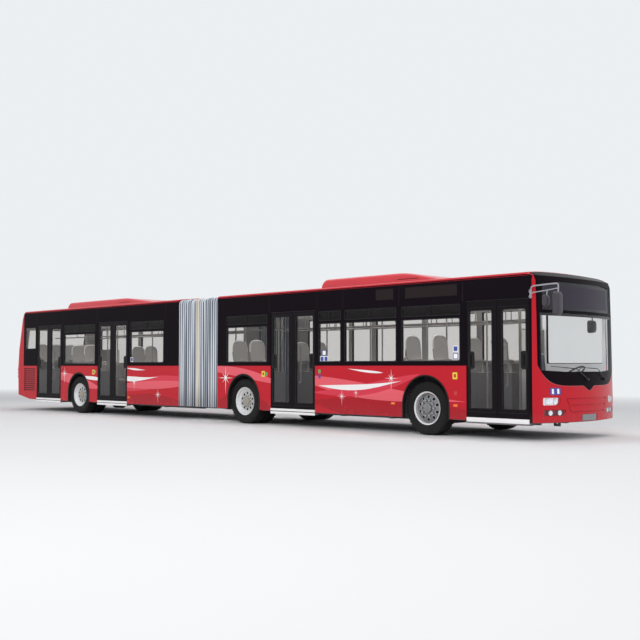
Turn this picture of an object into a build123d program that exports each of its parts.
from build123d import *
import math
import os

os.makedirs("parts", exist_ok=True)

# Articulated low-floor city bus. Millimetres, +X to the front, +Y to the left, +Z up.
# Lengths along the bus are stations: the distance behind the front body corners' datum.

# Bays along the kerb side from the nose back: the gap ahead of each and its width
bays = {
    "door1": {"gap": 286, "width": 1285},
    "pane1": {"gap": 130, "width": 1336},
    "pane2": {"gap": 137, "width": 1323},
    "pane3": {"gap": 112, "width": 610},
    "door2": {"gap": 112, "width": 1338},
    "pane4": {"gap": 106, "width": 1354},
    "bellows": {"gap": 322, "width": 1448},
    "pane5": {"gap": 607, "width": 1408},
    "door3": {"gap": 122, "width": 1367},
    "pane6": {"gap": 132, "width": 1556},
    "door4": {"gap": 148, "width": 1326},
    "pane7": {"gap": 76, "width": 609},
}
station = 0
for row in bays.values():
    row["fore"] = station + row["gap"]
    row["aft"] = row["fore"] + row["width"]
    station = row["aft"]
tailGap = 580

# Overall
mirrorReach = 380
noseApex = -90
tailCorner = bays["pane7"]["aft"] + tailGap
tailBulge = 60
overall = mirrorReach + tailCorner + tailBulge
noseDatum = overall / 2 - mirrorReach
halfWidth = 1275
wallThick = 55
skirtZ = 312
sillZ = 1252
bandTopZ = 2754
shoulderZ = 2812
crownZ = 2872
shoulderInset = 62
noseSide = 179
noseRadius = 150
tailRadius = 250
maskEnd = bays["door1"]["fore"]
tailStart = tailCorner - 500
farFore = -500
farAft = tailCorner + 600
farSide = halfWidth + 125

# Floor and running gear
floorTop = 360
floorThick = 60
frontAxle = bays["door1"]["aft"] + 914
midAxle = bays["door2"]["aft"] + 887
rearAxle = bays["door3"]["aft"] + 917
tyreRadius = 486
tyreWidth = 275
tyreOuterY = 1235
twinPitch = 310
rimRadius = 305
archHalf = tyreRadius + 44
archTop = tyreRadius * 2 + 100
wellHalf = archHalf + 42
wellInner = 600
wellTop = archTop + 18
wellSkin = 25
wellRoof = wellTop + wellSkin
beamLow = 190
kingpinOffset = 100

towStation = 560
towBore = 21
towThick = 40

# Articulation
frontEnd = bays["bellows"]["fore"]
rearStart = bays["bellows"]["aft"]
pivotStation = (frontEnd + rearStart) / 2
discRadius = 640
bellowsPleats = 18
pleatDepth = 44
bellowsThick = 9
bellowsInset = 6
bellowsCorner = 120

# Doors: the glazed height of each
doorTable = {
    "door1": {"glassLow": 520, "glassHigh": 2203},
    "door2": {"glassLow": 490, "glassHigh": 2270},
    "door3": {"glassLow": 490, "glassHigh": 2270},
    "door4": {"glassLow": 490, "glassHigh": 2270},
}
for name, row in doorTable.items():
    row["fore"] = bays[name]["fore"]
    row["aft"] = bays[name]["aft"]
doorTop = 2366
doorFoot = 372
doorThick = 45
doorGap = 6
doorOuterY = 1268
doorStile = 62
stepLow = 262

# Side windows: fore and aft edge, lower pane and the hopper strip over it
paneLow = 1331
paneHigh = 2096
hopperLow = 2150
hopperHigh = 2336
paneThick = 10
paneInset = 4
tailPaneLow = 1734
driverPaneLow = 1290
overArchDrop = 30
postWidth = 130


def pane(fore, aft, low=paneLow, hopper=True):
    return {"fore": fore, "aft": aft, "low": low, "hopper": hopper}


def bayPane(name, low=paneLow, hopper=True):
    return pane(bays[name]["fore"], bays[name]["aft"], low, hopper)


tailPane = bayPane("pane7", tailPaneLow, False)
windowsRight = [bayPane(name) for name in ("pane1", "pane2", "pane3", "pane4", "pane5")]
windowsRight += [bayPane("pane6", paneLow - overArchDrop), tailPane]
leftSplit = bays["door2"]["fore"] + bays["door2"]["width"] / 2
windowsLeft = [pane(bays["door1"]["fore"] + 74, bays["door1"]["aft"] - 31, driverPaneLow, False)]
windowsLeft += [bayPane(name) for name in ("pane1", "pane2", "pane4", "pane5", "door3", "pane6", "door4")]
windowsLeft += [pane(bays["pane3"]["fore"], leftSplit - postWidth / 2), tailPane]
windowsLeft += [pane(leftSplit + postWidth / 2, bays["door2"]["aft"])]

# Engine bay behind the last door
rearFloorEnd = tailCorner - 1220
bayTop = wellRoof + 35

# Passenger seats: station of the front edge, inner edge of the row, what it stands on, seats side by side
# and the sides that have it (+1 left)
seatPitchY = 440
baseHeights = {"plinth": 560, "arch": wellRoof, "bench": bayTop + 30}
seatRows = [
    {"station": frontAxle - 525, "inner": 745, "base": "arch", "count": 1, "sides": (1, -1)},
    {"station": frontAxle + 115, "inner": 745, "base": "arch", "count": 1, "sides": (1, -1)},
    {"station": frontAxle + 845, "inner": 330, "base": "plinth", "count": 2, "sides": (1, -1)},
    {"station": frontAxle + 1625, "inner": 330, "base": "plinth", "count": 2, "sides": (1, -1)},
    {"station": bays["door2"]["fore"] + 419, "inner": 770, "base": "plinth", "count": 1, "sides": (1,)},
    {"station": midAxle - 526, "inner": 745, "base": "arch", "count": 1, "sides": (1, -1)},
    {"station": midAxle + 64, "inner": 745, "base": "arch", "count": 1, "sides": (1, -1)},
    {"station": rearStart + 351, "inner": 330, "base": "plinth", "count": 2, "sides": (1, -1)},
    {"station": rearStart + 1161, "inner": 330, "base": "plinth", "count": 2, "sides": (1, -1)},
    {"station": rearAxle - 530, "inner": 745, "base": "arch", "count": 1, "sides": (1, -1)},
    {"station": rearAxle + 100, "inner": 745, "base": "arch", "count": 1, "sides": (1, -1)},
    {"station": bays["door4"]["fore"] + 321, "inner": 330, "base": "plinth", "count": 2, "sides": (1,)},
    {"station": rearFloorEnd + 290, "inner": 20, "base": "bench", "count": 2, "sides": (1, -1)},
]

# Upright poles: station and offset from the centre line
poleRadius = 17
screenStation = bays["door1"]["aft"] - 1
polesFront = [(screenStation + 70, -560), (screenStation + 70, 470), (frontAxle + 745, -310),
              (frontAxle + 745, 310), (bays["door2"]["fore"] - 631, -310), (bays["door2"]["fore"] - 231, 500),
              (midAxle - 736, -560), (midAxle - 736, 560), (frontEnd - 121, -560), (frontEnd - 121, 560)]
polesRear = [(rearStart + 121, -560), (rearStart + 121, 560), (bays["door3"]["fore"] - 276, -310),
             (bays["door3"]["fore"] - 276, 310), (rearAxle - 740, -560), (rearAxle - 740, 560),
             (bays["door4"]["fore"] - 109, -560), (bays["door4"]["fore"] + 181, 310)]

# Roof units: front foot, length of the sloping nose, of the flat back and of the tail, and height
podHalf = 950
podFoot = 2840
podNoseRadius = 2400
podTailRadius = 200
podSideRadius = 60
podTable = {
    "front_roof_unit": {"fore": frontAxle - 145, "nose": 902, "flat": 2206, "tail": 65, "top": 3016},
    "rear_roof_unit": {"fore": rearAxle - 2956, "nose": 1258, "flat": 2817, "tail": 85, "top": 2995},
}

# Front face
screenHalf = 1160
screenLow = 1150
screenHigh = 2130
signLow = 2185
signHigh = 2660
signHalf = 1090
lampTable = {
    "headlamp": {"inner": 770, "outer": 1130, "low": 598, "high": 722, "slant": 34},
    "foglamp": {"inner": 650, "outer": 1110, "low": 422, "high": 520, "slant": 26},
}
grilleHalfTop = 640
grilleHalfLow = 540
grilleLines = [700, 592, 478]
plateHalf = 260
plateLow = 318
plateHigh = 430

# Rear face
rearWindowHalf = 930
rearWindowLow = 1560
rearWindowHigh = 2290
tailLampInner = 1040
tailLampLow = 905
tailLampHigh = 1200
louvreFore = bays["pane7"]["fore"] + 16
louvreAft = bays["pane7"]["aft"] + 40
louvreLow = 541
louvreHigh = 1204
louvrePitch = 60

# Set-back of each end by height: at the middle of the face and at its corners
noseLean = [(skirtZ - 20, 12, 8), (700, 0, 0), (1150, 40, 0), (2120, 105, 0), (2660, 135, 8), (2752, 178, 40),
            (2830, 330, 190), (2900, 640, 520)]
tailLean = [(skirtZ - 20, 40, 40), (1200, 0, 0), (1720, 45, 45), (2600, 235, 235), (2740, 300, 300),
            (2830, 430, 430), (2900, 760, 760)]


def along(station):
    return noseDatum - station


def block(fore, aft, y0, y1, z0, z1):
    size = (aft - fore, abs(y1 - y0), z1 - z0)
    return Pos(along((fore + aft) / 2), (y0 + y1) / 2, (z0 + z1) / 2) * Box(*size)


def bar(x0, x1, y0, y1, z0, z1):
    return Pos((x0 + x1) / 2, (y0 + y1) / 2, (z0 + z1) / 2) * Box(x1 - x0, y1 - y0, z1 - z0)


def tubeAlong(points, radius):
    # A round bar through straight runs, with a ball at each bend.
    parts = []
    for start, end in zip(points[:-1], points[1:]):
        start = Vector(*start)
        end = Vector(*end)
        run = end - start
        parts.append(Plane(origin=start, z_dir=run) * Pos(0, 0, run.length / 2) * Cylinder(radius, run.length))
    for corner in points[1:-1]:
        parts.append(Pos(*corner) * Sphere(radius))
    total = parts[0]
    for piece in parts[1:]:
        total = total + piece
    return total


def roundBar(x, y, z, radius, length, axis):
    turn = {"x": Rot(0, 90, 0), "y": Rot(90, 0, 0), "z": Rot(0, 0, 0)}[axis]
    return Pos(x, y, z) * turn * Cylinder(radius, length)


def front2d(points, fore, aft):
    # A closed outline in the front view (y, z), drawn through from one station to another.
    face = make_face(Polyline(*[(along(fore), y, z) for y, z in points], close=True))
    return extrude(face, amount=aft - fore, dir=(-1, 0, 0))


def side2d(points, y0, y1):
    # A closed outline in the side view (station, z), drawn through from y0 to y1.
    face = make_face(Polyline(*[(along(s), y0, z) for s, z in points], close=True))
    return extrude(face, amount=y1 - y0, dir=(0, 1, 0))


def crossSection(inset, lowZ):
    # The body's section across: upright sides, a rounded shoulder and a crowned roof.
    half = halfWidth - inset
    edge = half - shoulderInset
    bend = half - shoulderInset * 0.29
    bendZ = bandTopZ + (shoulderZ - bandTopZ) * 0.71 - inset
    with BuildSketch(Plane.YZ) as outline:
        with BuildLine():
            Polyline((-half, bandTopZ - inset), (-half, lowZ), (half, lowZ), (half, bandTopZ - inset))
            ThreePointArc((half, bandTopZ - inset), (bend, bendZ), (edge, shoulderZ - inset))
            ThreePointArc((edge, shoulderZ - inset), (0, crownZ - inset), (-edge, shoulderZ - inset))
            ThreePointArc((-edge, shoulderZ - inset), (-bend, bendZ), (-half, bandTopZ - inset))
        make_face()
    return outline.sketch


def bodyLoft(leans, inset, apex, corner, radius, back, sign):
    # Ruled loft through plan outlines; sign is +1 for the nose and -1 for the tail.
    half = halfWidth - inset
    faces = []
    for z, tipLean, sideLean in leans:
        tip = along(apex + sign * (tipLean + inset))
        side = along(corner + sign * (sideLean + inset))
        end = along(back)
        with BuildSketch(Plane.XY.offset(z)) as plan:
            with BuildLine():
                ThreePointArc((side, half), (tip, 0), (side, -half))
                Polyline((side, -half), (end, -half), (end, half), (side, half))
            make_face()
            group = plan.vertices().group_by(Axis.X)
            fillet(group[-1] if sign > 0 else group[0], radius - inset)
        faces.append(plan.sketch)
    return loft(faces, ruled=True)


def bodyShape(front, inset, reach):
    leans = noseLean if front else tailLean
    if front:
        solid = bodyLoft(leans, inset, noseApex, noseSide, noseRadius, frontEnd + reach, 1)
        span = (frontEnd + reach - noseApex, noseApex)
    else:
        apex = tailCorner + tailBulge
        corner = tailCorner - 20
        solid = bodyLoft(leans, inset, apex, corner, tailRadius, rearStart - reach, -1)
        span = (apex - rearStart + reach, rearStart - reach)
    length, start = span
    section = extrude(crossSection(inset, skirtZ - inset * 2), amount=length + 40, dir=(-1, 0, 0))
    section = Pos(along(start - 20), 0, 0) * section
    return solid & section


def archCut(station, side):
    radius = archHalf
    centre = archTop - radius
    hole = roundBar(along(station), side * (halfWidth - 20), centre, radius, wallThick * 3, "y")
    y0, y1 = sorted((side * (halfWidth + 90), side * (halfWidth - wallThick - 60)))
    return hole + block(station - radius, station + radius, y0, y1, skirtZ - 80, centre)


def windowCuts(table, side):
    boxes = []
    y0, y1 = sorted((side * (halfWidth + 20), side * (halfWidth - wallThick - 20)))
    for row in table:
        spans = [(row["low"], hopperHigh)]
        if row["hopper"]:
            spans = [(row["low"], paneHigh), (hopperLow, hopperHigh)]
        for low, high in spans:
            boxes.append(block(row["fore"], row["aft"], y0, y1, low, high))
    return boxes


def windowPanes(table, side):
    panes = []
    outer = halfWidth - paneInset
    y0, y1 = sorted((side * outer, side * (outer - paneThick)))
    for row in table:
        spans = [(row["low"], hopperHigh)]
        if row["hopper"]:
            spans = [(row["low"], paneHigh), (hopperLow, hopperHigh)]
        for low, high in spans:
            panes.append(block(row["fore"], row["aft"], y0, y1, low, high))
    return panes


def without(shape, cutters):
    for cutter in cutters:
        shape = shape - cutter
    return shape


def save(name, shapes):
    solids = []
    for shape in shapes if isinstance(shapes, list) else [shapes]:
        solids.extend(shape.solids())
    whole = Compound(children=solids) if len(solids) > 1 else solids[0]
    whole.label = name
    export_step(whole, "parts/" + name + ".step")


# Body shells
frontOuter = bodyShape(True, 0, 0)
frontInner = bodyShape(True, wallThick, 60)
frontSkin = frontOuter - frontInner
rearOuter = bodyShape(False, 0, 0)
rearInner = bodyShape(False, wallThick, 60)
rearSkin = rearOuter - rearInner
rampFoot = [(tailCorner - 1245, skirtZ - 32), (tailCorner - 830, skirtZ + 12), (tailCorner - 270, skirtZ + 110),
            (farAft, skirtZ + 175)]
rearRamp = side2d(rampFoot + [(farAft, skirtZ - 112), (tailCorner - 1245, skirtZ - 112)], -farSide, farSide)
rearSkin = rearSkin - rearRamp

doorCuts = []
for row in doorTable.values():
    doorCuts.append(block(row["fore"], row["aft"], -halfWidth - 20, -halfWidth + wallThick + 20, 200, doorTop + doorGap))

frontSplit = block(farFore, maskEnd, -farSide, farSide, 0, bandTopZ)
rearSplit = block(tailStart, farAft, -farSide, farSide, 0, bandTopZ)
lowBox = block(farFore, farAft, -farSide, farSide, 0, bandTopZ)
rightBox = block(farFore, farAft, -farSide, 0, 0, bandTopZ)
leftBox = block(farFore, farAft, 0, farSide, 0, bandTopZ)

save("front_roof", frontSkin - lowBox)
save("rear_roof", rearSkin - lowBox)

louvres = []
count = int((louvreHigh - louvreLow) / louvrePitch)
for index in range(count):
    low = louvreLow + louvrePitch * (index + 0.3)
    louvres.append(block(louvreFore, louvreAft, -halfWidth - 20, -halfWidth + 24, low, low + louvrePitch * 0.45))
    louvres.append(block(louvreFore, louvreAft, halfWidth - 24, halfWidth + 20, low, low + louvrePitch * 0.45))

frontArches = [archCut(frontAxle, -1), archCut(midAxle, -1), archCut(frontAxle, 1), archCut(midAxle, 1)]
rearArches = [archCut(rearAxle, -1), archCut(rearAxle, 1)]
frontSides = frontSkin - frontSplit
rearSides = rearSkin - rearSplit
sideCuts = windowCuts(windowsRight, -1) + doorCuts
leftCuts = windowCuts(windowsLeft, 1)
save("front_wall_right", without(frontSides & rightBox, sideCuts + frontArches[:2]))
save("front_wall_left", without(frontSides & leftBox, leftCuts + frontArches[2:]))
save("rear_wall_right", without(rearSides & rightBox, sideCuts + rearArches[:1] + louvres))
save("rear_wall_left", without(rearSides & leftBox, leftCuts + rearArches[1:] + louvres))

# Front face: windscreen, sign window, lamps, grille creases and plate recess
screenShape = [(-screenHalf, screenLow + 28), (-screenHalf * 0.55, screenLow), (screenHalf * 0.55, screenLow),
               (screenHalf, screenLow + 28), (screenHalf, screenHigh), (-screenHalf, screenHigh)]
signShape = [(-signHalf, signLow), (signHalf, signLow), (signHalf, signHigh - 45), (signHalf * 0.6, signHigh),
             (-signHalf * 0.6, signHigh), (-signHalf, signHigh - 45)]
maskDepth = maskEnd + 4
screenPrism = front2d(screenShape, farFore, maskDepth)
signPrism = front2d(signShape, farFore, maskDepth)
mask = frontSkin & frontSplit
glassSkin = frontOuter - bodyShape(True, paneThick, 60)
screens = [(glassSkin & frontSplit) & screenPrism, (glassSkin & frontSplit) & signPrism]
lampPrisms = []
for row in lampTable.values():
    for side in (-1, 1):
        corners = [(row["inner"] + row["slant"], row["low"]), (row["outer"], row["low"]),
                   (row["outer"], row["high"]), (row["inner"], row["high"])]
        prism = front2d([(side * y, z) for y, z in corners], farFore, maskDepth)
        lampPrisms.append(fillet(prism.edges().filter_by(Axis.X), 22))
lenses = []
for prism in lampPrisms:
    lenses.append(mask & prism)
creaseSkin = frontOuter - bodyShape(True, 12, 60)
creases = []
for low in grilleLines:
    slope = (low - grilleLines[-1]) / (grilleLines[0] - grilleLines[-1])
    half = grilleHalfLow + (grilleHalfTop - grilleHalfLow) * slope
    creases.append(creaseSkin & block(farFore, maskDepth, -half, half, low - 9, low + 9))
for side in (-1, 1):
    edge = [(side * grilleHalfTop, grilleLines[0]), (side * (grilleHalfTop - 16), grilleLines[0]),
            (side * (grilleHalfLow - 16), grilleLines[-1]), (side * grilleHalfLow, grilleLines[-1])]
    creases.append(creaseSkin & front2d(edge, farFore, maskDepth))
plateSkin = frontOuter - bodyShape(True, 8, 60)
creases.append(plateSkin & block(farFore, maskDepth, -plateHalf, plateHalf, plateLow, plateHigh))
save("front_mask", without(mask, [screenPrism, signPrism] + lampPrisms + creases))
save("front_lamps", lenses)

frontPanes = [row for row in windowsRight if row["aft"] < frontEnd]
rearPanes = [row for row in windowsRight if row["fore"] > rearStart]
frontPanesLeft = [row for row in windowsLeft if row["aft"] < frontEnd]
rearPanesLeft = [row for row in windowsLeft if row["fore"] > rearStart]
save("front_windows", windowPanes(frontPanes, -1) + windowPanes(frontPanesLeft, 1))
save("windscreen", screens)

# Rear face
rearEnd = rearSkin & rearSplit
backPrism = block(tailStart + 30, farAft, -rearWindowHalf, rearWindowHalf, rearWindowLow, rearWindowHigh)
tailPrisms = []
for side in (-1, 1):
    y0, y1 = sorted((side * tailLampInner, side * (halfWidth + 20)))
    tailPrisms.append(block(tailStart + 60, farAft, y0, y1, tailLampLow, tailLampHigh))
rearGlassSkin = rearOuter - bodyShape(False, paneThick, 60)
lidSkin = rearOuter - bodyShape(False, 12, 60)
lidLines = []
for low in (560, 1440):
    lidLines.append(lidSkin & block(tailStart + 60, farAft, -960, 960, low - 6, low + 6))
for side in (-960, 948):
    lidLines.append(lidSkin & block(tailStart + 60, farAft, side, side + 12, 560, 1440))
for index in range(7):
    low = 760 + index * 58
    lidLines.append(lidSkin & block(tailStart + 60, farAft, -700, 700, low, low + 26))
lampBulbs = []
for prism in tailPrisms:
    lampBulbs.append(rearEnd & prism)
save("rear_end", without(rearEnd, [backPrism] + tailPrisms + lidLines))
save("tail_lamps", lampBulbs)
save("rear_windows", windowPanes(rearPanes, -1) + windowPanes(rearPanesLeft, 1) + [rearGlassSkin & backPrism])


# Floors with wheel boxes, doorway steps and under-floor rails
def wheelBox(station, side):
    y0, y1 = sorted((side * (wellInner - wellSkin), side * (halfWidth - wallThick)))
    half = wellHalf + wellSkin
    return block(station - half, station + half, y0, y1, floorTop - floorThick, wellRoof)


def wheelSpace(station, side):
    y0, y1 = sorted((side * wellInner, side * (halfWidth + 30)))
    return block(station - wellHalf, station + wellHalf, y0, y1, beamLow - 60, wellTop)


def stepSill(row):
    fore = row["fore"]
    aft = row["aft"]
    return block(fore, aft, -halfWidth + 3, -halfWidth + wallThick + 60, stepLow, floorTop - 2)


def floorRails(fore, aft, skips):
    rails = []
    for side in (-1, 1):
        y0, y1 = sorted((side * 400, side * 470))
        rail = block(fore, aft, y0, y1, floorTop - floorThick - 75, floorTop - floorThick)
        for station in skips:
            rail = rail - block(station - 90, station + 90, y0 - 5, y1 + 5, 100, floorTop)
        rails.append(rail)
    return rails


slabLow = floorTop - floorThick
frontFloor = frontInner & block(farFore, frontEnd, -farSide, farSide, slabLow, floorTop)
for station in (frontAxle, midAxle):
    for side in (-1, 1):
        frontFloor = frontFloor + wheelBox(station, side)
for name in ("door1", "door2"):
    frontFloor = frontFloor + stepSill(doorTable[name])
for rail in floorRails(620, frontEnd - 60, (frontAxle, midAxle)):
    frontFloor = frontFloor + rail
towEye = block(towStation - 60, towStation + 60, -towThick / 2, towThick / 2, slabLow - 105, slabLow)
frontFloor = frontFloor + (towEye - roundBar(along(towStation), 0, slabLow - 55, towBore, towThick * 2, "y"))
for station in (frontAxle - 985, frontAxle + 1115, midAxle - 2656, midAxle - 1256):
    frontFloor = frontFloor + block(station, station + 80, -900, 900, slabLow - 55, slabLow)
for station in (frontAxle, midAxle):
    for side in (-1, 1):
        frontFloor = frontFloor - wheelSpace(station, side)
save("front_floor", frontFloor)

rearFloor = rearInner & block(rearStart, rearFloorEnd, -farSide, farSide, slabLow, floorTop)
for side in (-1, 1):
    rearFloor = rearFloor + wheelBox(rearAxle, side)
for name in ("door3", "door4"):
    rearFloor = rearFloor + stepSill(doorTable[name])
for rail in floorRails(rearStart + 60, rearFloorEnd, (rearAxle,)):
    rearFloor = rearFloor + rail
for station in (rearStart + 1001, rearAxle - 1620, rearAxle + 1380):
    rearFloor = rearFloor + block(station, station + 80, -900, 900, slabLow - 55, slabLow)
innerHalf = halfWidth - wallThick
bayWall = block(rearFloorEnd - 30, rearFloorEnd, -innerHalf, innerHalf, slabLow, bayTop + 30)
bayLid = rearInner & block(rearFloorEnd - 30, farAft, -farSide, farSide, bayTop, bayTop + 30)
rearFloor = rearFloor + bayWall + bayLid
for side in (-1, 1):
    y0, y1 = sorted((side * 380, side * 460))
    rearFloor = rearFloor + (rearInner & block(rearFloorEnd - 30, farAft, y0, y1, 430, 500))
for side in (-1, 1):
    rearFloor = rearFloor - wheelSpace(rearAxle, side)
# The floor reaches forward to the turning platform with a hollow round edge.
pivotX = along(pivotStation)
apron = block(pivotStation + 300, rearStart, -400, 400, slabLow, floorTop)
apron = apron - Pos(pivotX, 0, slabLow + 30) * Cylinder(discRadius + 6, 200)
hitch = Pos(pivotX, 0, slabLow - 35) * Cylinder(360, 70)
tongue = block(pivotStation, rearStart + 700, -230, 230, slabLow - 70, slabLow)
tongue = tongue - block(pivotStation - 10, rearStart, -400, 400, slabLow - 0.001, slabLow + 1)
rearFloor = rearFloor + apron + hitch + tongue
save("rear_floor", rearFloor)

platform = Pos(pivotX, 0, floorTop - floorThick / 2) * Cylinder(discRadius, floorThick)
platform = platform + block(frontEnd, pivotStation, -560, 560, slabLow, floorTop)
save("turntable", platform)


# Bellows: a concertina lofted through alternate ridges and valleys, an even cloth thick
def pleatArch(inset, station, low):
    half = halfWidth - inset
    top = shoulderZ - inset - 4
    crown = top + crownZ - shoulderZ
    bend = bellowsCorner - inset
    with BuildSketch(Plane.YZ.offset(along(station))) as ring:
        with BuildLine():
            Polyline((-half, top - bend), (-half, low), (half, low), (half, top - bend))
            ThreePointArc((half, top - bend), (half - bend * 0.293, top - bend * 0.293), (half - bend, top))
            ThreePointArc((half - bend, top), (0, crown), (-half + bend, top))
            ThreePointArc((-half + bend, top), (-half + bend * 0.293, top - bend * 0.293), (-half, top - bend))
        make_face()
    return ring.sketch


def concertina(inset, reach, low):
    span = rearStart - frontEnd
    sections = [pleatArch(inset, frontEnd - reach, low)] if reach else []
    for index in range(bellowsPleats * 2 + 1):
        depth = pleatDepth if index % 2 else 0
        sections.append(pleatArch(inset + depth, frontEnd + span * index / (bellowsPleats * 2), low))
    if reach:
        sections.append(pleatArch(inset, rearStart + reach, low))
    return loft(sections, ruled=True)


hollow = concertina(bellowsInset + bellowsThick, 20, skirtZ - 60)
save("bellows", concertina(bellowsInset, 0, skirtZ + 6) - hollow)

# Roof units: a long sloping nose, a flat back and a steep rear end
for name, row in podTable.items():
    fore = row["fore"]
    ridgeAft = fore + row["nose"] + row["flat"]
    aft = ridgeAft + row["tail"]
    outline = [(fore, podFoot), (fore + row["nose"], row["top"]), (ridgeAft, row["top"]), (aft, podFoot - 12),
               (aft, crownZ - 110), (fore, crownZ - 110)]
    pod = side2d(outline, -podHalf, podHalf)
    crossEdges = pod.edges().filter_by(Axis.Y).group_by(Axis.Z)[-1].sort_by(Axis.X)
    pod = fillet(crossEdges[-1], podNoseRadius)
    tailEdge = pod.edges().filter_by(Axis.Y).sort_by_distance((along(ridgeAft), 0, row["top"]))[0]
    pod = fillet(tailEdge, podTailRadius)
    ridge = [edge for edge in pod.edges() if edge.center().Z > crownZ - 60 and abs(abs(edge.center().Y) - podHalf) < 1]
    pod = fillet(ridge, podSideRadius)
    pod = pod - (frontOuter if name.startswith("front") else rearOuter)
    save(name, pod)


# Doors: each opening has two leaves; a leaf is a framed pane with a round outer edge to turn on
def doorLeaf(row, fore, aft, hingeFore):
    y0 = -doorOuterY
    y1 = -doorOuterY + doorThick
    middle = (y0 + y1) / 2
    radius = doorThick / 2
    hinge = fore + radius if hingeFore else aft - radius
    body = block(min(fore + radius, hinge) if hingeFore else fore, aft if hingeFore else aft - radius,
                 y0, y1, doorFoot, doorTop)
    post = roundBar(along(hinge), middle, (doorFoot + doorTop) / 2, radius, doorTop - doorFoot, "z")
    leaf = body + post
    # Pivots in the header and on the step carry the leaf.
    for low, high in ((floorTop - 2, doorFoot + 5), (doorTop - 5, doorTop + doorGap)):
        leaf = leaf + roundBar(along(hinge), middle, (low + high) / 2, 12, high - low, "z")
    glassFore = fore + doorStile
    glassAft = aft - doorStile
    for y2, y3 in ((y0 - 5, y0 + 6), (y0 + 14, y1 + 5)):
        leaf = leaf - block(glassFore, glassAft, y2, y3, row["glassLow"], row["glassHigh"])
    return leaf


for name, row in doorTable.items():
    middle = (row["fore"] + row["aft"]) / 2
    save(name + "_leaf_front", doorLeaf(row, row["fore"] + doorGap, middle - doorGap / 2, True))
    save(name + "_leaf_rear", doorLeaf(row, middle + doorGap / 2, row["aft"] - doorGap, False))


# Wheels: profiles as radius and distance outboard of the tyre's middle plane
def spun(points, station, side, centreY):
    face = make_face(Polyline(*[(along(station), side * (centreY + y), tyreRadius + r) for r, y in points],
                              close=True))
    axis = Axis((along(station), 0, tyreRadius), (0, 1, 0))
    return revolve(face, axis, 360)


half = tyreWidth / 2
tyreProfile = [(rimRadius, half - 22), (rimRadius + 70, half), (tyreRadius - 48, half - 4),
               (tyreRadius - 14, half - 18), (tyreRadius, half - 38), (tyreRadius, -half + 38),
               (tyreRadius - 14, -half + 18), (tyreRadius - 48, -half + 4), (rimRadius + 70, -half),
               (rimRadius, -half + 22), (rimRadius - 14, -half + 26), (rimRadius - 14, half - 26)]
steerRim = [(rimRadius - 2, half - 6), (rimRadius - 2, half - 20), (rimRadius - 14, half - 26), (rimRadius - 16, -half + 26),
            (rimRadius - 2, -half + 20), (rimRadius - 2, -half + 8), (rimRadius - 34, -half + 12),
            (rimRadius - 40, 30), (220, 58), (165, 78), (120, 74), (112, 44), (90, 40), (90, 4), (0.001, 4),
            (0.001, 128), (84, 128), (92, 100), (120, 90), (165, 94), (226, 74), (rimRadius - 36, 56),
            (rimRadius - 28, half - 18)]
outerY = tyreOuterY - half
innerY = outerY - twinPitch
twinPlane = -twinPitch / 2
twinRim = [(rimRadius - 2, half - 6), (rimRadius - 2, half - 20), (rimRadius - 14, half - 26),
           (rimRadius - 16, -half + 26), (rimRadius - 2, -half + 20), (rimRadius - 2, -half + 8),
           (rimRadius - 30, -half + 12), (rimRadius - 30, twinPlane * 2 + half - 12),
           (rimRadius - 2, twinPlane * 2 + half - 8), (rimRadius - 2, twinPlane * 2 + half - 20),
           (rimRadius - 16, twinPlane * 2 + half - 26), (rimRadius - 14, twinPlane * 2 - half + 26),
           (rimRadius - 2, twinPlane * 2 - half + 20), (rimRadius - 2, twinPlane * 2 - half + 8),
           (rimRadius - 34, twinPlane * 2 - half + 12), (rimRadius - 44, twinPlane - 60), (225, twinPlane - 12),
           (150, twinPlane - 12), (150, twinPlane - 34), (0.001, twinPlane - 34), (0.001, 66), (88, 66),
           (100, 50), (112, twinPlane + 46), (150, twinPlane + 26), (150, twinPlane + 12),
           (225, twinPlane + 12), (rimRadius - 44, twinPlane + 60), (rimRadius - 28, half - 18)]


def holes(shape, station, side, centreY, radius, pitch, count):
    for index in range(count):
        angle = 2 * math.pi * (index + 0.5) / count
        x = along(station) + pitch * math.cos(angle)
        z = tyreRadius + pitch * math.sin(angle)
        shape = shape - roundBar(x, side * centreY, z, radius, 420, "y")
    return shape


for name, side in (("left", 1), ("right", -1)):
    save("tyre_front_" + name, spun(tyreProfile, frontAxle, side, outerY))
    save("rim_front_" + name, holes(spun(steerRim, frontAxle, side, outerY), frontAxle, side, outerY, 24, 205, 10))
    for axle, station in (("mid", midAxle), ("rear", rearAxle)):
        save("tyre_" + axle + "_" + name,
             [spun(tyreProfile, station, side, outerY), spun(tyreProfile, station, side, innerY)])
        rim = spun(twinRim, station, side, outerY)
        save("rim_" + axle + "_" + name, holes(rim, station, side, outerY - 150, 30, 190, 10))

# Steering knuckles with their kingpins, and the front axle beam
kingpinY = outerY - kingpinOffset
frontX = along(frontAxle)
eyeHalf = 62
lugThick = 34
hubFaceY = outerY + 4
beam = bar(frontX - 55, frontX + 55, -kingpinY + 130, kingpinY - 130, beamLow, slabLow - 20)
for side in (-1, 1):
    y0, y1 = sorted((side * (kingpinY - 200), side * (kingpinY - 54)))
    beam = beam + bar(frontX - 45, frontX + 45, y0, y1, slabLow - 44, slabLow + 30)
    y0, y1 = sorted((side * (kingpinY - 114), side * (kingpinY - 54)))
    beam = beam + bar(frontX - 45, frontX + 45, y0, y1, slabLow - 44, tyreRadius + eyeHalf)
    y0, y1 = sorted((side * (kingpinY - 60), side * (kingpinY - 20)))
    beam = beam + bar(frontX - 40, frontX + 40, y0, y1, tyreRadius - eyeHalf, tyreRadius + eyeHalf)
    beam = beam + roundBar(frontX, side * kingpinY, tyreRadius, 46, eyeHalf * 2, "z")
    beam = beam - roundBar(frontX, side * kingpinY, tyreRadius, 22.3, 400, "z")
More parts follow.
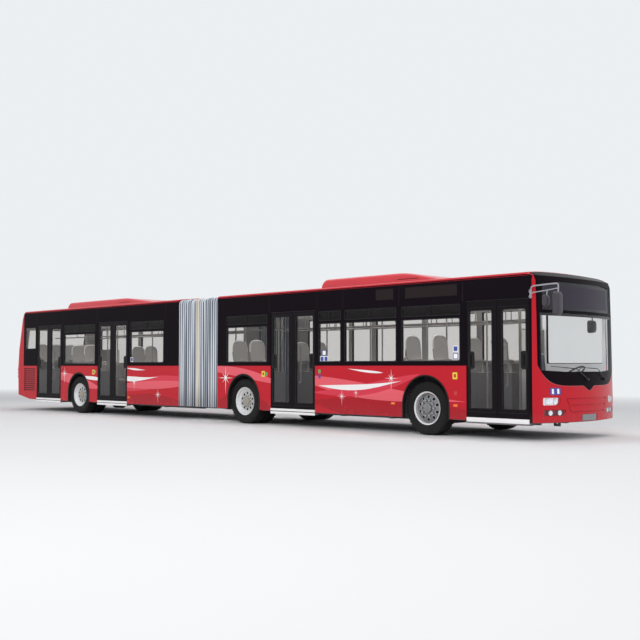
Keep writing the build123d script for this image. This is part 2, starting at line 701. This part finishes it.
for side in (-1, 1):
    y0, y1 = sorted((side * 330, side * 560))
    beam = beam + bar(frontX - 80, frontX + 80, y0, y1, slabLow - 40, slabLow)
save("front_axle", beam)
for name, side in (("left", 1), ("right", -1)):
    y = side * kingpinY
    knuckle = roundBar(frontX, y, tyreRadius, 22, 2 * (eyeHalf + lugThick), "z")
    for direction in (-1, 1):
        level = tyreRadius + direction * (eyeHalf + lugThick / 2)
        knuckle = knuckle + roundBar(frontX, y, level, 46, lugThick, "z")
        y0, y1 = sorted((y, side * (kingpinY + 78)))
        knuckle = knuckle + bar(frontX - 38, frontX + 38, y0, y1, level - lugThick / 2, level + lugThick / 2)
    y0, y1 = sorted((side * (kingpinY + 52), side * (kingpinY + 78)))
    knuckle = knuckle + bar(frontX - 38, frontX + 38, y0, y1, tyreRadius - eyeHalf - lugThick,
                            tyreRadius + eyeHalf + lugThick)
    length = hubFaceY - kingpinY - 78
    knuckle = knuckle + roundBar(frontX, side * (kingpinY + 78 + length / 2), tyreRadius, 60, length, "y")
    save("knuckle_" + name, knuckle)

# Dropped axles of the twin wheels
for axle, station in (("mid", midAxle), ("rear", rearAxle)):
    x = along(station)
    faceY = outerY + twinPlane - 34
    beam = bar(x - 75, x + 75, -wellInner - 38, wellInner + 38, beamLow, slabLow - 20)
    beam = beam + bar(x - 85, x + 85, -560, 560, slabLow - 30, slabLow)
    for side in (-1, 1):
        y0, y1 = sorted((side * (wellInner + 5), side * (wellInner + 38)))
        beam = beam + bar(x - 75, x + 75, y0, y1, beamLow, tyreRadius)
        length = faceY - wellInner - 5
        beam = beam + roundBar(x, side * (wellInner + 5 + length / 2), tyreRadius, 175, length, "y")
    if axle == "rear":
        beam = beam + roundBar(x, 0, beamLow + 60, 150, 300, "x") - bar(x - 200, x + 200, -300, 300, slabLow, 500)
    save(axle + "_axle", beam)

engineFore = rearFloorEnd + 180
engine = block(engineFore, tailCorner - 350, -560, 620, 500, bayTop - 110)
engine = engine + roundBar(along(engineFore - 55), 30, 720, 190, 110, "x")
save("engine_block", engine)


# Seats: moulded shells with a rolled front edge and a rounded, slotted back, on one pedestal
seatDrop = 30
backHeight = 500
shellProfile = [(0, -4), (3, 30), (22, 44), (395, 34), (452, backHeight), (484, backHeight), (462, 14), (430, -20),
                (380, -22), (44, 8), (22, -12)]


def seatShell(fore, y0, y1, seatZ):
    outline = make_face(Polyline(*[(along(fore + s), y0, seatZ + z) for s, z in shellProfile], close=True))
    corner = outline.vertices().sort_by_distance((along(fore + 395), y0, seatZ + 34))[0]
    outline = fillet(corner, 60)
    shell = extrude(outline, amount=y1 - y0, dir=(0, 1, 0))
    tops = [edge for edge in shell.edges().filter_by(Axis.X, tolerance=5) if edge.center().Z > seatZ + backHeight - 20]
    shell = fillet(tops, 80)
    middle = (y0 + y1) / 2
    return shell - block(fore + 400, fore + 520, middle - 80, middle + 80, seatZ + 405, seatZ + 440)


def seatRow(row, side):
    fore = row["station"]
    base = baseHeights[row["base"]]
    footZ = floorTop if row["base"] == "plinth" else base
    seatZ = base + (240 if row["base"] == "plinth" else 190)
    total = None
    for index in range(row["count"]):
        inner = row["inner"] + index * seatPitchY
        y0, y1 = sorted((side * inner, side * (inner + seatPitchY - 10)))
        shell = seatShell(fore, y0, y1, seatZ)
        total = shell if total is None else total + shell
    inner = row["inner"]
    outer = inner + row["count"] * seatPitchY - 10
    y0, y1 = sorted((side * (inner + 60), side * (outer - 60)))
    total = total + block(fore + 120, fore + 330, y0, y1, seatZ - seatDrop, seatZ + 20)
    centre = side * (inner + outer) / 2
    total = total + roundBar(along(fore + 220), centre, (footZ + seatZ) / 2, 32, seatZ - footZ, "z")
    return total


seats = {"front_seats": [], "rear_seats": []}
for row in seatRows:
    node = "front_seats" if row["station"] < frontEnd else "rear_seats"
    for side in row["sides"]:
        seats[node].append(seatRow(row, side))
for node, shapes in seats.items():
    save(node, shapes)


# Poles from floor to ceiling
def ceilingAt(y):
    edge = halfWidth - wallThick - shoulderInset
    return shoulderZ - wallThick + (crownZ - shoulderZ) * (1 - (y / edge) ** 2) - 2


def poles(places):
    shapes = []
    for station, y in places:
        top = ceilingAt(y)
        shapes.append(roundBar(along(station), y, (floorTop + top) / 2, poleRadius, top - floorTop, "z"))
    return shapes


save("front_poles", poles(polesFront))
save("rear_poles", poles(polesRear))

# Driver's place: dashboard, steering wheel, seat and the screen behind
dashShape = [(maskEnd - 270, floorTop), (maskEnd - 270, 1080), (maskEnd - 120, 1120), (520, 1040), (560, 960),
             (430, 900), (400, floorTop)]
dash = side2d(dashShape, 260, innerHalf - 60) & frontInner
shelf = side2d([(maskEnd - 330, 1010), (maskEnd - 330, 1080), (maskEnd - 60, 1080), (maskEnd - 60, 1010)], -1100, 300)
dash = dash + (shelf & frontInner)
wheelPlane = Plane(origin=(along(650), 720, 1120), x_dir=(0, 1, 0), z_dir=(-0.55, 0, 0.84))
ring = wheelPlane * Torus(215, 15)
spokes = wheelPlane * (Box(424, 44, 14) + Pos(0, -106, 0) * Box(44, 212, 14) + Pos(0, 0, -160) * Cylinder(32, 320))
steering = (ring + spokes) - dash
seatFore = screenStation - 610
cushion = [(seatFore, 770), (seatFore, 850), (seatFore + 380, 840), (seatFore + 430, 1560), (seatFore + 500, 1560),
           (seatFore + 470, 800), (seatFore + 440, 760)]
driverSeat = side2d(cushion, 480, 960)
driverSeat = fillet(driverSeat.edges().filter_by(Axis.Y), 18)
driverSeat = driverSeat + block(seatFore + 100, seatFore + 360, 600, 840, floorTop, 790)
screen = block(screenStation, screenStation + 30, 420, innerHalf, floorTop, 1950)
screen = screen + block(screenStation - 10, screenStation + 40, 400, 440, floorTop, 2300)
save("driver_station", [dash, steering, driverSeat, screen])

# Mirrors and wipers
headY = 1320
headX = along(-mirrorReach) - 75
rightArm = tubeAlong([(along(250), -halfWidth + 14, 2480), (along(200), -halfWidth - 40, 2560),
                      (headX, -headY, 2580), (headX, -headY, 2400)], 16)
stay = tubeAlong([(along(250), -halfWidth + 14, 2390), (along(200), -halfWidth - 40, 2450),
                  (headX + 20, -headY, 2500), (headX, -headY, 2400)], 11)
rightHead = Pos(headX + 22.5, -headY - 40, 2250) * Box(105, 180, 380)
rightHead = fillet(rightHead.edges().filter_by(Axis.X), 40)
rightHead = fillet(rightHead.faces().sort_by(Axis.X)[-1].edges(), 25)
wideX = headX - 205
wideHead = Pos(wideX, -headY - 25, 2306) * Box(95, 120, 182)
wideHead = fillet(wideHead.edges().filter_by(Axis.X), 25)
wideHead = wideHead + roundBar(wideX, -headY, 2430, 9, 110, "z")
leftArm = tubeAlong([(along(640), halfWidth - 6, 2440), (along(640), headY + 55, 2440),
                     (along(640), headY + 55, 2080)], 16)
leftHead = Pos(along(640), headY + 55, 1900) * Box(140, 150, 400)
leftHead = fillet(leftHead.edges().filter_by(Axis.X), 40)
leftHead = fillet(leftHead.faces().sort_by(Axis.X)[-1].edges(), 30)
save("mirrors", [(rightArm + stay + rightHead + wideHead) - frontOuter, (leftArm + leftHead) - frontOuter])


def noseStation(y, z):
    lean = 0
    for (z0, lean0, side0), (z1, lean1, side1) in zip(noseLean[:-1], noseLean[1:]):
        if z0 <= z <= z1:
            lean = lean0 + (lean1 - lean0) * (z - z0) / (z1 - z0)
    return noseApex + lean + (noseSide - noseApex - lean) * (y / halfWidth) ** 2


wiperTable = [
    {"pivot": (610, 1020), "elbow": (290, 1215), "tip": (-300, 1235)},
    {"pivot": (-60, 1020), "elbow": (-380, 1215), "tip": (-960, 1250)},
]
wipers = []
for row in wiperTable:
    points = []
    for key in ("pivot", "elbow", "tip"):
        y, z = row[key]
        points.append((along(noseStation(y, z)) + 38, y, z))
    y, z = row["pivot"]
    shape = tubeAlong(points, 9)
    shape = shape + (roundBar(along(noseStation(y, z)) + 10, y, z, 22, 70, "x") - frontOuter)
    wipers.append(shape)
save("wipers", wipers)
